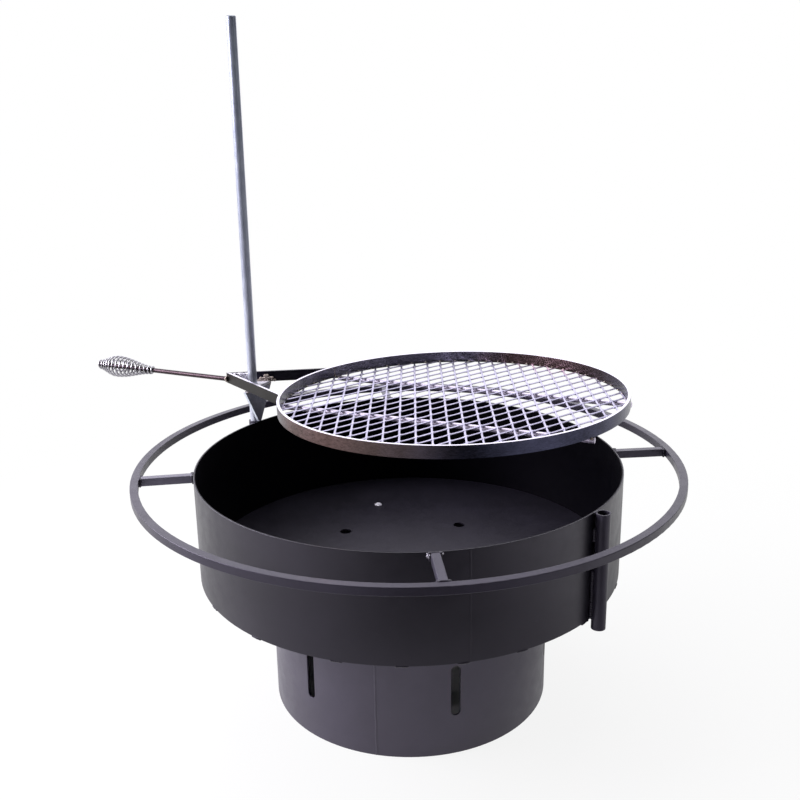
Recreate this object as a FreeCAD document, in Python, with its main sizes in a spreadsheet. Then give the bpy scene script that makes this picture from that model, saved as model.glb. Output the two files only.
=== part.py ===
import FreeCAD, Part
import math
import os

import Sketcher

# Fire pit with a swing-over grill. Lengths are in millimetres and angles in degrees.
# The origin is on the ground under the centre of the bowl, with +Z up and +X along
# the right-hand arm of the outer ring. The grill hangs on a post at the back left.

SIZES = [
    # bowl: a straight-walled shell with a flat floor disc inside its lower edge
    ("bowl_radius", "381"),
    ("bowl_height", "188"),
    ("bowl_wall", "3"),
    ("floor_thickness", "4"),
    ("floor_gap", "0.3"),
    ("drain_count", "4"),
    ("drain_reach", "158"),
    ("drain_radius", "11"),
    ("drain_azimuth", "45"),
    # base: a welded drum with upright air slots
    ("base_radius", "254"),
    ("base_height", "254"),
    ("base_wall", "3"),
    ("slot_count", "6"),
    ("slot_width", "17"),
    ("slot_height", "94"),
    ("slot_bottom", "74"),
    ("slot_azimuth", "-79"),
    # bolts that hold the floor down on tabs inside the base
    ("bolt_count", "3"),
    ("bolt_inset", "13"),
    ("bolt_azimuth", "99.2"),
    ("bolt_radius", "3"),
    ("bolt_length", "20"),
    ("bolt_head_radius", "8"),
    ("bolt_head_height", "3.6"),
    ("bolt_hole_gap", "0.4"),
    ("thread_gap", "0.1"),
    ("washer_radius", "7"),
    ("washer_thickness", "1.6"),
    ("nut_corner_radius", "5.8"),
    ("nut_height", "5"),
    ("tab_width", "30"),
    ("tab_length", "28"),
    ("tab_thickness", "5"),
    # outer ring of square bar and its four arms
    ("ring_gap", "93"),
    ("bar_size", "14"),
    ("bar_corner", "1"),
    ("weld_gap", "0.2"),
    # two upright tube sockets outside the bowl wall
    ("socket_radius", "12"),
    ("socket_bore", "9.5"),
    ("socket_length", "203"),
    ("socket_gap", "0.3"),
    ("stop_thickness", "5"),
    ("post_socket_azimuth", "135.8"),
    ("spare_socket_azimuth", "-45"),
    # post
    ("post_radius", "9"),
    ("post_above_rim", "770"),
    ("post_chamfer", "1.5"),
    ("rest_gap", "0.3"),
    # grill: its own plane passes through the post axis, rises towards the free end and
    # leans a little towards the front
    ("grill_above_rim", "100.4"),
    ("grill_azimuth", "-32.3"),
    ("grill_rise", "1.8"),
    ("grill_cross_tilt", "-0.95"),
    ("hoop_reach", "436"),
    ("hoop_radius", "317.5"),
    ("hoop_height", "22"),
    ("hoop_thickness", "5"),
    ("swing_arm_height", "21"),
    ("swing_arm_thickness", "5"),
    ("swing_arm_drop", "5"),
    ("swing_arm_angle", "29.3"),
    ("apex_back", "58"),
    ("plate_thickness", "5"),
    ("plate_drop", "3"),
    ("plate_back", "38"),
    ("plate_front", "17"),
    ("collar_gap", "1.4"),
    ("brace_thickness", "5"),
    ("brace_post_gap", "0.3"),
    ("brace_half_width", "46"),
    ("brace_tip_width", "8"),
    # expanded-metal grate and the two rods under it
    ("grate_gap", "0.3"),
    ("grate_thickness", "3"),
    ("grate_rim", "4"),
    ("diamond_long", "62"),
    ("diamond_short", "30"),
    ("strand_width", "4"),
    ("smallest_hole", "7"),
    ("rod_radius", "4.75"),
    ("rod_spacing", "220"),
    ("rod_shift", "5"),
    ("rod_inset", "3"),
    ("rod_overhang", "3"),
    # handle rod and its wound wire grip
    ("handle_radius", "4.75"),
    ("handle_drop", "19"),
    ("handle_rise", "0.9"),
    ("handle_end", "398"),
    ("grip_length", "147"),
    ("grip_wire", "4"),
    ("grip_turns", "15.5"),
    ("grip_gap", "0.3"),
    ("grip_radius", "23"),
    # every cut runs this far past the faces it goes through
    ("overrun", "10"),
]

# Shares along the grip: where it is widest, and how thick it is at its outer end.
GRIP_WIDEST_SHARE = 0.65
GRIP_OUTER_END_SHARE = 0.08
# Steps of a turn from one bend to the next, and points tried along a turn for its gap.
GRIP_BENDS_PER_TURN = 4
GRIP_TESTS_PER_TURN = 48

# Arms of the outer ring and where they stand round the bowl.
RING_ARMS = [
    ("ring_arm_right", -0.6),
    ("ring_arm_back", 90),
    ("ring_arm_left", 182.5),
    ("ring_arm_front", 269.5),
]

# Places that several pieces share, worked out from the named sizes.
RIM = "(Sizes.base_height + Sizes.bowl_height)"
SOCKET_REACH = "(Sizes.bowl_radius + Sizes.socket_gap + Sizes.socket_radius)"
SOCKET_BOTTOM = f"({RIM} - Sizes.socket_length)"
POST_X = f"({SOCKET_REACH} * cos(Sizes.post_socket_azimuth))"
POST_Y = f"({SOCKET_REACH} * sin(Sizes.post_socket_azimuth))"
GRILL_TOP = f"({RIM} + Sizes.grill_above_rim)"
ARM_BOTTOM = "(Sizes.hoop_height + Sizes.swing_arm_drop)"
PLATE_BOTTOM = f"({ARM_BOTTOM} + Sizes.plate_drop)"
APEX = "(Sizes.apex_back + Sizes.swing_arm_thickness / 2 / sin(Sizes.swing_arm_angle))"
RING_INNER = "(Sizes.bowl_radius + Sizes.ring_gap)"
BASE_INNER = "(Sizes.base_radius - Sizes.base_wall)"
BOLT_REACH = f"({BASE_INNER} - Sizes.bolt_inset)"

doc = FreeCAD.newDocument("fire_pit")
sheet = doc.addObject("Spreadsheet::Sheet", "Sizes")
for row, (alias, value) in enumerate(SIZES, start=1):
    sheet.set(f"A{row}", alias)
    sheet.set(f"B{row}", value)
    sheet.setAlias(f"B{row}", alias)
doc.recompute()

pieces = []


def size(name):
    """The number in the cell of that name."""
    return float(sheet.get(name))


def place(x="0", y="0", z="0", yaw="0", pitch="0", roll="0"):
    """A placement written as a formula of the sheet's cells."""
    where = f"create(<<vector>>; {x}; {y}; {z})"
    turn = f"create(<<rotation>>; {yaw}; {pitch}; {roll})"
    return f"create(<<placement>>; {where}; {turn})"


def polar(reach, azimuth, z):
    """A place on a circle round the Z axis, with local +X pointing outwards."""
    return place(f"{reach} * cos({azimuth})", f"{reach} * sin({azimuth})", z, azimuth)


GRILL = place(POST_X, POST_Y, GRILL_TOP, "Sizes.grill_azimuth", "-Sizes.grill_rise",
              "Sizes.grill_cross_tilt")


def on_grill(x, y, z, pitch="0"):
    """A place in the grill's own plane, +X from the post towards the hoop."""
    return GRILL + " * " + place(x, y, z, "0", pitch)


HANDLE = (on_grill(f"-({APEX} + Sizes.weld_gap)", "0", "-Sizes.handle_drop") + " * "
          + place(yaw="180", pitch="-Sizes.handle_rise"))
HANDLE_LENGTH = f"(Sizes.handle_end - {APEX} - Sizes.weld_gap)"


def keep(item, name):
    """Name a finished sub-part and remember it for the checks and the files."""
    item.Label = name
    pieces.append(item)
    return item


def new_body(name, placement):
    body = doc.addObject("PartDesign::Body", name)
    body.setExpression("Placement", placement)
    return keep(body, name)


def new_sketch(body, name, role="XY_Plane", offset="0"):
    """A sketch on one of the body's own origin planes, moved along its normal."""
    sketch = body.newObject("Sketcher::SketchObject", name)
    plane = [item for item in body.Origin.OriginFeatures if item.Role == role][0]
    sketch.AttachmentSupport = [(plane, "")]
    sketch.MapMode = "FlatFace"
    sketch.setExpression("AttachmentOffset.Base.z", offset)
    return sketch


def bind(sketch, constraint, formula):
    index = sketch.addConstraint(constraint)
    sketch.setExpression(f"Constraints[{index}]", formula)


def bind_point(sketch, index, point, x, y):
    """Tie a point of the geometry to two coordinates of its own."""
    start = sketch.getPoint(index, point)
    for axis, line, formula, now in (("DistanceX", -2, x, start.x), ("DistanceY", -1, y, start.y)):
        if formula == "0":
            sketch.addConstraint(Sketcher.Constraint("PointOnObject", index, point, line))
        else:
            bind(sketch, Sketcher.Constraint(axis, -1, 1, index, point, now), formula)


def draw_circle(sketch, radius, x="0", y="0"):
    unit = Part.Circle(FreeCAD.Vector(1, 1, 0), FreeCAD.Vector(0, 0, 1), 1)
    index = sketch.addGeometry(unit)
    bind(sketch, Sketcher.Constraint("Radius", index, 1), radius)
    bind_point(sketch, index, 3, x, y)


def draw_outline(sketch, corners):
    """A closed outline of straight lines through the corners."""
    count = len(corners)
    unit = []
    for step in range(count):
        turn = 2 * math.pi * (step + 0.5) / count
        unit.append(FreeCAD.Vector(math.cos(turn), math.sin(turn), 0))
    lines = []
    for step in range(count):
        lines.append(sketch.addGeometry(Part.LineSegment(unit[step], unit[(step + 1) % count])))
    for step in range(count):
        after = lines[(step + 1) % count]
        sketch.addConstraint(Sketcher.Constraint("Coincident", lines[step], 2, after, 1))
    for line, (x, y) in zip(lines, corners):
        bind_point(sketch, line, 1, x, y)


def add_pad(body, sketch, length, name="pad"):
    pad = body.newObject("PartDesign::Pad", f"{body.Name}_{name}")
    pad.Profile = sketch
    pad.setExpression("Length", length)
    doc.recompute()
    return pad


def add_cut(body, sketch, length, name, reverse=False):
    """A pocket that has to take something away from the body."""
    before = body.Shape.Volume
    pocket = body.newObject("PartDesign::Pocket", f"{body.Name}_{name}")
    pocket.Profile = sketch
    pocket.Reversed = reverse
    pocket.setExpression("Length", length)
    doc.recompute()
    if not body.Shape.Volume < before:
        raise RuntimeError(f"{body.Name}: {name} cuts nothing")
    return pocket


def add_pattern(body, feature, count, name):
    """Copies of one cut, evenly spaced round the body's own Z axis."""
    pattern = body.newObject("PartDesign::PolarPattern", f"{body.Name}_{name}")
    pattern.Originals = [feature]
    axis = [item for item in body.Origin.OriginFeatures if item.Role == "Z_Axis"][0]
    pattern.Axis = (axis, [""])
    pattern.Angle = 360
    pattern.setExpression("Occurrences", count)
    body.Tip = pattern
    doc.recompute()
    return pattern


def round_edges(body, feature, edges, radius):
    fillet = body.newObject("PartDesign::Fillet", f"{body.Name}_corners")
    fillet.Base = (feature, edges)
    fillet.setExpression("Radius", radius)
    doc.recompute()
    return fillet


def closed_edges(shape):
    """Names of the edges that run all the way round."""
    return [f"Edge{i}" for i, edge in enumerate(shape.Edges, start=1) if edge.isClosed()]


def make_band(name, outer, inner, height, placement, offset="0"):
    """A round wall with a straight inside and outside."""
    body = new_body(name, placement)
    sketch = new_sketch(body, f"{name}_section", offset=offset)
    draw_circle(sketch, outer)
    draw_circle(sketch, inner)
    return body, add_pad(body, sketch, height)


def add_primitive(kind, name, placement, **formulas):
    item = doc.addObject(kind, name)
    for prop, formula in formulas.items():
        item.setExpression(prop, formula)
    item.setExpression("Placement", placement)
    return item


def make_compound(name, parts):
    group = doc.addObject("Part::Compound", name)
    group.Links = parts
    return keep(group, name)


def make_bowl():
    inner = "Sizes.bowl_radius - Sizes.bowl_wall"
    bottom = place(z="Sizes.base_height")
    make_band("bowl_shell", "Sizes.bowl_radius", inner, "Sizes.bowl_height", bottom)

    body = new_body("bowl_floor", bottom)
    sketch = new_sketch(body, "bowl_floor_section")
    draw_circle(sketch, f"{inner} - Sizes.floor_gap")
    add_pad(body, sketch, "Sizes.floor_thickness")
    through = "Sizes.floor_thickness + Sizes.overrun"
    drain = new_sketch(body, "drain_section")
    azimuth = "Sizes.drain_azimuth"
    draw_circle(drain, "Sizes.drain_radius",
                f"Sizes.drain_reach * cos({azimuth})", f"Sizes.drain_reach * sin({azimuth})")
    cut = add_cut(body, drain, through, "drain", True)
    add_pattern(body, cut, "Sizes.drain_count", "drains")
    hole = new_sketch(body, "bolt_hole_section")
    azimuth = "Sizes.bolt_azimuth"
    draw_circle(hole, "Sizes.bolt_radius + Sizes.bolt_hole_gap",
                f"{BOLT_REACH} * cos({azimuth})", f"{BOLT_REACH} * sin({azimuth})")
    cut = add_cut(body, hole, through, "bolt_hole", True)
    add_pattern(body, cut, "Sizes.bolt_count", "bolt_holes")


def draw_slot(sketch):
    """An upright slot with round ends, centred on the sketch's own Y axis."""
    half = size("slot_width") / 2
    low = size("slot_bottom") + half
    high = size("slot_bottom") + size("slot_height") - half
    face = FreeCAD.Vector(0, 0, 1)
    lower = Part.Circle(FreeCAD.Vector(0, low, 0), face, half)
    upper = Part.Circle(FreeCAD.Vector(0, high, 0), face, half)
    foot = sketch.addGeometry(Part.ArcOfCircle(lower, math.pi, 2 * math.pi))
    head = sketch.addGeometry(Part.ArcOfCircle(upper, 0, math.pi))
    right = sketch.addGeometry(Part.LineSegment(FreeCAD.Vector(half, low, 0),
                                                FreeCAD.Vector(half, high, 0)))
    left = sketch.addGeometry(Part.LineSegment(FreeCAD.Vector(-half, high, 0),
                                               FreeCAD.Vector(-half, low, 0)))
    for first, end, second, start in ((foot, 2, right, 1), (right, 2, head, 1),
                                      (head, 2, left, 1), (left, 2, foot, 1)):
        sketch.addConstraint(Sketcher.Constraint("Tangent", first, end, second, start))
    sketch.addConstraint(Sketcher.Constraint("Equal", foot, head))
    bind(sketch, Sketcher.Constraint("Radius", foot, half), "Sizes.slot_width / 2")
    bind_point(sketch, foot, 3, "0", "Sizes.slot_bottom + Sizes.slot_width / 2")
    bind_point(sketch, head, 3, "0",
               "Sizes.slot_bottom + Sizes.slot_height - Sizes.slot_width / 2")


def make_base():
    """The drum is turned so that its first slot lies on its own +Y axis."""
    turned = place(yaw="Sizes.slot_azimuth - 90")
    body = make_band("base_drum", "Sizes.base_radius", BASE_INNER,
                     "Sizes.base_height", turned)[0]
    sketch = new_sketch(body, "slot_section", "XZ_Plane")
    draw_slot(sketch)
    cut = add_cut(body, sketch, "Sizes.base_radius + Sizes.overrun", "slot")
    add_pattern(body, cut, "Sizes.slot_count", "slots")


def bolt_azimuth(number):
    return f"(Sizes.bolt_azimuth + 360 * {number} / Sizes.bolt_count)"


def make_tab(number):
    """A flat tab whose outer corners touch the inside of the base wall."""
    top = "Sizes.base_height - Sizes.tab_thickness"
    body = new_body(f"base_tab_{number + 1}", place(z=top, yaw=bolt_azimuth(number)))
    sketch = new_sketch(body, f"{body.Name}_section")
    half = "Sizes.tab_width / 2"
    outer = f"sqrt(({BASE_INNER} - Sizes.weld_gap)^2 - ({half})^2)"
    inner = f"{outer} - Sizes.tab_length"
    draw_outline(sketch, [(outer, half), (inner, half), (inner, f"-{half}"), (outer, f"-{half}")])
    draw_circle(sketch, "Sizes.bolt_radius + Sizes.bolt_hole_gap", BOLT_REACH)
    add_pad(body, sketch, "Sizes.tab_thickness")


def make_fasteners():
    """Domed bolts down through the floor and the tabs, with a washer and nut below."""
    under = "Sizes.base_height - Sizes.tab_thickness - Sizes.washer_thickness"
    dome = "((Sizes.bolt_head_radius^2 + Sizes.bolt_head_height^2) / (2 * Sizes.bolt_head_height))"
    bolts = []
    washers = []
    nuts = []
    for number in range(int(size("bolt_count"))):
        make_tab(number)
        azimuth = bolt_azimuth(number)
        seat = "Sizes.base_height + Sizes.floor_thickness"
        head = add_primitive("Part::Sphere", f"bolt_head_{number}",
                             polar(BOLT_REACH, azimuth,
                                   f"{seat} + Sizes.bolt_head_height - {dome}"),
                             Radius=dome,
                             Angle1=f"asin(({dome} - Sizes.bolt_head_height) / {dome})")
        shank = add_primitive("Part::Cylinder", f"bolt_shank_{number}",
                              polar(BOLT_REACH, azimuth, f"{seat} - Sizes.bolt_length"),
                              Radius="Sizes.bolt_radius", Height="Sizes.bolt_length")
        bolt = doc.addObject("Part::Fuse", f"bolt_{number}")
        bolt.Base = head
        bolt.Tool = shank
        bolts.append(bolt)
        washers.append(make_holed("washer", number, polar(BOLT_REACH, azimuth, under), "Part::Cylinder",
                                  "Sizes.washer_thickness", "Sizes.bolt_hole_gap",
                                  Radius="Sizes.washer_radius",
                                  Height="Sizes.washer_thickness"))
        low = polar(BOLT_REACH, azimuth, f"{under} - Sizes.nut_height")
        nuts.append(make_holed("nut", number, low, "Part::Prism",
                               "Sizes.nut_height", "Sizes.thread_gap",
                               Circumradius="Sizes.nut_corner_radius",
                               Height="Sizes.nut_height"))
    make_compound("floor_bolts", bolts)
    make_compound("floor_washers", washers)
    make_compound("floor_nuts", nuts)


def make_holed(name, number, placement, kind, height, gap, **formulas):
    """A small round or six-sided piece with a hole for the bolt's shank."""
    blank = add_primitive(kind, f"{name}_blank_{number}", placement, **formulas)
    through = f"{placement} * {place(z='-Sizes.overrun')}"
    hole = add_primitive("Part::Cylinder", f"{name}_hole_{number}", through,
                         Radius=f"Sizes.bolt_radius + {gap}",
                         Height=f"{height} + 2 * Sizes.overrun")
    holed = doc.addObject("Part::Cut", f"{name}_{number}")
    holed.Base = blank
    holed.Tool = hole
    return holed


def make_ring():
    """Square bar rolled to a ring, its top level with the bowl's rim."""
    bottom = f"{RIM} - Sizes.bar_size"
    body, pad = make_band("outer_ring", f"{RING_INNER} + Sizes.bar_size", RING_INNER,
                          "Sizes.bar_size", place(z=bottom))
    round_edges(body, pad, closed_edges(pad.Shape), "Sizes.bar_corner")
    half = "Sizes.bar_size / 2"
    start = "(Sizes.bowl_radius + Sizes.weld_gap)"
    end = f"sqrt({RING_INNER}^2 - ({half})^2)"
    for name, azimuth in RING_ARMS:
        arm = new_body(name, place(z=f"{RIM} - {half}", yaw=str(azimuth)))
        sketch = new_sketch(arm, f"{name}_section", "YZ_Plane", start)
        draw_outline(sketch, [(half, half), (f"-{half}", half),
                              (f"-{half}", f"-{half}"), (half, f"-{half}")])
        bar = add_pad(arm, sketch, f"{end} - Sizes.weld_gap - {start}")
        long_edges = []
        for number, edge in enumerate(bar.Shape.Edges, start=1):
            if abs(edge.tangentAt(edge.FirstParameter).x) > 0.5:
                long_edges.append(f"Edge{number}")
        round_edges(arm, bar, long_edges, "Sizes.bar_corner")


def make_socket(name, azimuth):
    """A tube beside the bowl wall, closed at its foot by a round stop of the same width."""
    make_band(name, "Sizes.socket_radius", "Sizes.socket_bore",
              "Sizes.socket_length - Sizes.stop_thickness",
              polar(SOCKET_REACH, azimuth, f"{SOCKET_BOTTOM} + Sizes.stop_thickness"))
    stop = add_primitive("Part::Cylinder", f"{name}_stop",
                         polar(SOCKET_REACH, azimuth, SOCKET_BOTTOM),
                         Radius="Sizes.socket_radius", Height="Sizes.stop_thickness")
    keep(stop, f"{name}_stop")


def make_post():
    """A round bar standing on the stop, with both ends chamfered."""
    bottom = f"({SOCKET_BOTTOM} + Sizes.stop_thickness + Sizes.rest_gap)"
    body = new_body("post", place(POST_X, POST_Y, bottom))
    sketch = new_sketch(body, "post_section")
    draw_circle(sketch, "Sizes.post_radius")
    pad = add_pad(body, sketch, f"{RIM} + Sizes.post_above_rim - {bottom}")
    chamfer = body.newObject("PartDesign::Chamfer", "post_chamfer")
    chamfer.Base = (pad, closed_edges(pad.Shape))
    chamfer.setExpression("Size", "Sizes.post_chamfer")
    doc.recompute()


def make_bracket():
    """A plate between the swing arms with the post's hole, and a pointed brace below it."""
    body = new_body("pivot_plate", GRILL)
    sketch = new_sketch(body, "pivot_plate_section", offset=f"-{PLATE_BOTTOM}")
    angle = "Sizes.swing_arm_angle"
    tip = f"(Sizes.apex_back - Sizes.swing_arm_thickness / 2 / sin({angle}))"
    gap = f"Sizes.weld_gap / cos({angle})"
    front = "Sizes.plate_front"
    back = "-Sizes.plate_back"
    wide = f"(({tip} + Sizes.plate_front) * tan({angle}) - {gap})"
    narrow = f"(({tip} - Sizes.plate_back) * tan({angle}) - {gap})"
    draw_outline(sketch, [(front, wide), (back, narrow), (back, f"-{narrow}"), (front, f"-{wide}")])
    draw_circle(sketch, "Sizes.post_radius + Sizes.collar_gap")
    add_pad(body, sketch, "Sizes.plate_thickness")

    near = "(Sizes.post_radius + Sizes.brace_post_gap)"
    top = f"({near} * tan(Sizes.grill_rise) - {PLATE_BOTTOM} / cos(Sizes.grill_rise)"
    top = top + " - Sizes.weld_gap)"
    low = "(Sizes.rest_gap - Sizes.grill_above_rim)"
    half = "Sizes.brace_half_width"
    point = "Sizes.brace_tip_width / 2"
    brace = new_body("brace_plate", place(POST_X, POST_Y, GRILL_TOP, "Sizes.grill_azimuth",
                                          roll="Sizes.grill_cross_tilt"))
    sketch = new_sketch(brace, "brace_plate_section", "YZ_Plane", near)
    draw_outline(sketch, [(half, top), (f"-{half}", top), (f"-{point}", low), (point, low)])
    add_pad(brace, sketch, "Sizes.brace_thickness")


def make_swing_arm(name, side):
    """A flat bar on edge from the apex behind the post to the hoop's outer face."""
    body = new_body(name, GRILL)
    sketch = new_sketch(body, f"{name}_section", offset=f"-{ARM_BOTTOM}")
    angle = "Sizes.swing_arm_angle"
    half = f"Sizes.swing_arm_thickness / 2 / sin({angle})"
    reach = "Sizes.hoop_reach"
    edges = []
    for apex in (f"(Sizes.apex_back + {half})", f"(Sizes.apex_back - {half})"):
        edges.append([(f"-{apex}", "0"), (reach, f"{side} * ({reach} + {apex}) * tan({angle})")])
    outer, inner = edges
    draw_outline(sketch, [outer[0], outer[1], inner[1], inner[0]])
    add_pad(body, sketch, "Sizes.swing_arm_height")
    hoop = new_sketch(body, f"{name}_end_section", offset=f"-{ARM_BOTTOM}")
    draw_circle(hoop, "Sizes.hoop_radius", reach)
    add_cut(body, hoop, f"{ARM_BOTTOM} + Sizes.overrun", "end", True)


def make_grate():
    """Expanded metal: one sheet with a staggered net of diamond holes, cut round."""
    outer = size("hoop_radius") - size("hoop_thickness") - size("grate_gap")
    inner = outer - size("grate_rim")
    long_half = size("diamond_long") / 2
    short_half = size("diamond_short") / 2
    inscribed = long_half * short_half / math.hypot(long_half, short_half)
    shrink = 1 - size("strand_width") / 2 / inscribed
    least = size("smallest_hole")
    centre = FreeCAD.Vector(0, 0, 0)
    up = FreeCAD.Vector(0, 0, 1)
    inside = Part.Face(Part.Wire(Part.makeCircle(inner, centre, up)))
    holes = []
    rows = math.ceil(outer / short_half)
    columns = math.ceil(outer / long_half)
    for row in range(-rows, rows + 1):
        for column in range(-columns, columns + 1):
            if (row + column) % 2:
                continue
            middle = FreeCAD.Vector(row * short_half, column * long_half, 0)
            along = FreeCAD.Vector(short_half * shrink, 0, 0)
            across = FreeCAD.Vector(0, long_half * shrink, 0)
            corners = [middle + along, middle + across, middle - along, middle - across]
            if min(corner.Length for corner in corners) > inner:
                continue
            wire = Part.makePolygon(corners + corners[:1])
            if max(corner.Length for corner in corners) < inner:
                holes.append(wire)
                continue
            for face in Part.Face(wire).common(inside).Faces:
                if min(face.BoundBox.XLength, face.BoundBox.YLength) > least:
                    holes.append(face.OuterWire)
    rim = Part.Wire(Part.makeCircle(outer, centre, up))
    sheet_face = Part.makeFace([rim] + holes, "Part::FaceMakerBullseye")
    print("grate holes:", len(holes))
    grate = doc.addObject("Part::Feature", "grill_mesh")
    grate.Shape = sheet_face.extrude(up * size("grate_thickness"))
    grate.setExpression("Placement", on_grill("Sizes.hoop_reach", "0", "-Sizes.hoop_height"))
    keep(grate, "grill_mesh")


def make_grill():
    inner = "Sizes.hoop_radius - Sizes.hoop_thickness"
    make_band("grill_hoop", "Sizes.hoop_radius", inner, "Sizes.hoop_height",
              on_grill("Sizes.hoop_reach", "0", "-Sizes.hoop_height"))
    make_swing_arm("near_arm", -1)
    make_swing_arm("far_arm", 1)
    make_grate()
    low = "-Sizes.hoop_height - Sizes.rod_radius"
    for name, side in (("support_rod_near", "-"), ("support_rod_far", "")):
        across = f"({side}Sizes.rod_spacing / 2 - Sizes.rod_shift)"
        half = f"sqrt(Sizes.hoop_radius^2 - {across}^2)"
        start = on_grill(f"Sizes.hoop_reach - {half} + Sizes.rod_inset", across, low, "90")
        rod = add_primitive("Part::Cylinder", name, start, Radius="Sizes.rod_radius",
                            Height=f"2 * {half} + Sizes.rod_overhang - Sizes.rod_inset")
        keep(rod, name)
    rod = add_primitive("Part::Cylinder", "handle_rod", f"{HANDLE} * {place(pitch='90')}",
                        Radius="Sizes.handle_radius", Height=HANDLE_LENGTH)
    keep(rod, "handle_rod")


def grip_radius(share):
    """Radius of the wire's middle line at a share of the grip's length."""
    least = size("handle_radius") + size("grip_gap") + size("grip_wire") / 2
    most = size("grip_radius") - size("grip_wire") / 2
    if share < GRIP_WIDEST_SHARE:
        swell = math.sin(math.pi / 2 * share / GRIP_WIDEST_SHARE) ** 2
        return least + (most - least) * swell
    fall = math.cos(math.pi / 2 * (share - GRIP_WIDEST_SHARE) / (1 - GRIP_WIDEST_SHARE)) ** 2
    end = GRIP_OUTER_END_SHARE
    return least + (most - least) * (end + (1 - end) * fall)


def grip_point(share):
    turn = 2 * math.pi * size("grip_turns") * share
    radius = grip_radius(share)
    along = size("grip_length") * share
    return FreeCAD.Vector(along, radius * math.cos(turn), radius * math.sin(turn))


def arc_to(start, corner, end):
    """The arc that leaves start towards the corner and arrives at end from it."""
    middle = (start + end) * 0.5
    reach = (corner - start).Length
    depth = (corner - middle).Length
    centre = corner + (middle - corner) * (reach * reach / depth / depth)
    radius = (start - centre).Length
    top = centre + (corner - centre).normalize() * radius
    return Part.Arc(start, top, end), radius


def make_grip():
    """A wire wound round the handle rod, thin at the inner end and swelling outwards."""
    wire = size("grip_wire")
    steps = round(size("grip_turns") * GRIP_BENDS_PER_TURN)
    tiny = 1 / steps / GRIP_TESTS_PER_TURN
    shares = [step / steps for step in range(steps + 1)]
    points = [grip_point(share) for share in shares]
    ways = [(grip_point(share + tiny) - grip_point(share - tiny)).normalize() for share in shares]
    edges = [Part.LineSegment(points[0] - ways[0] * wire, points[0])]
    radii = []
    for start, way, end, onward in zip(points, ways, points[1:], ways[1:]):
        span = end - start
        square = 2 * (1 - way.dot(onward))
        slope = 2 * span.dot(way + onward)
        reach = (math.sqrt(slope ** 2 + 4 * square * span.dot(span)) - slope) / (2 * square)
        first = start + way * reach
        second = end - onward * reach
        middle = (first + second) * 0.5
        for arc, radius in (arc_to(start, first, middle), arc_to(middle, second, end)):
            edges.append(arc)
            radii.append(radius)
    edges.append(Part.LineSegment(points[-1], points[-1] + ways[-1] * wire))
    path = Part.Wire([edge.toShape() for edge in edges])
    section = Part.Wire(Part.makeCircle(wire / 2, points[0] - ways[0] * wire, ways[0]))
    solid = path.makePipeShell([section], True, False)
    ideal = path.Length * math.pi * wire ** 2 / 4
    print("grip: tightest bend %.2f, volume over ideal %.5f" % (min(radii), solid.Volume / ideal))
    print("grip: least gap to itself %.2f" % least_gap(path, wire))
    grip = doc.addObject("Part::Feature", "spring_grip")
    grip.Shape = solid
    grip.setExpression("Placement", HANDLE + " * " + place(f"{HANDLE_LENGTH} - Sizes.grip_length"))
    keep(grip, "spring_grip")


def least_gap(path, wire):
    """Least clear space between stretches of the wire that are half a turn or more apart."""
    count = round(size("grip_turns") * GRIP_TESTS_PER_TURN)
    points = path.discretize(Number=count)
    apart = GRIP_TESTS_PER_TURN // 2
    least = path.Length
    for first in range(count):
        for second in range(first + apart, min(count, first + 2 * GRIP_TESTS_PER_TURN)):
            least = min(least, (points[first] - points[second]).Length)
    return least - wire


def check_and_write():
    doc.recompute()
    for item in doc.Objects:
        if "Invalid" in item.State or "Error" in item.State:
            raise RuntimeError(f"{item.Name} failed: {item.State}")
    for item in pieces:
        shape = item.Shape
        if shape.isNull() or not shape.isValid() or not shape.Solids:
            raise RuntimeError(f"{item.Label} has no valid solid")
    os.makedirs("parts", exist_ok=True)
    for item in pieces:
        item.Shape.exportStep(f"parts/{item.Label}.step")
        box = item.Shape.BoundBox
        print("%-18s solids %d volume %10.0f z %.1f to %.1f"
              % (item.Label, len(item.Shape.Solids), item.Shape.Volume, box.ZMin, box.ZMax))


make_bowl()
make_base()
make_fasteners()
make_ring()
make_socket("post_socket", "Sizes.post_socket_azimuth")
make_socket("spare_socket", "Sizes.spare_socket_azimuth")
make_post()
make_bracket()
make_grill()
make_grip()
check_and_write()
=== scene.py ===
import math

import bpy
from mathutils import Matrix, Vector, noise


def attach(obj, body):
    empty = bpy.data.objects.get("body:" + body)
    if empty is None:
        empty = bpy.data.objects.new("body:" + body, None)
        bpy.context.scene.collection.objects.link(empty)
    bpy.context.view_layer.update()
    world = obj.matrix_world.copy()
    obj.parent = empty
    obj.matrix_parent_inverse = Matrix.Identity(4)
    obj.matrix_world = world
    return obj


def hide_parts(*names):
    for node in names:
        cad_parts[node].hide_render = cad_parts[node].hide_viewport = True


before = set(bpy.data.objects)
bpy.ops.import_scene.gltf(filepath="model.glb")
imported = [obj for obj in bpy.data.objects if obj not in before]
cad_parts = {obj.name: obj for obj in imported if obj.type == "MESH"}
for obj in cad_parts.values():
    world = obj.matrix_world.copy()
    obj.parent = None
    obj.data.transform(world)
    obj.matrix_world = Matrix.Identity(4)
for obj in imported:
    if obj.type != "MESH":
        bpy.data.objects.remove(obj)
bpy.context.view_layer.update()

# The vector noise would otherwise take its offsets from the clock, and the beads differ each run.
NOISE_SEED = 1
noise.seed_set(NOISE_SEED)

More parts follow.
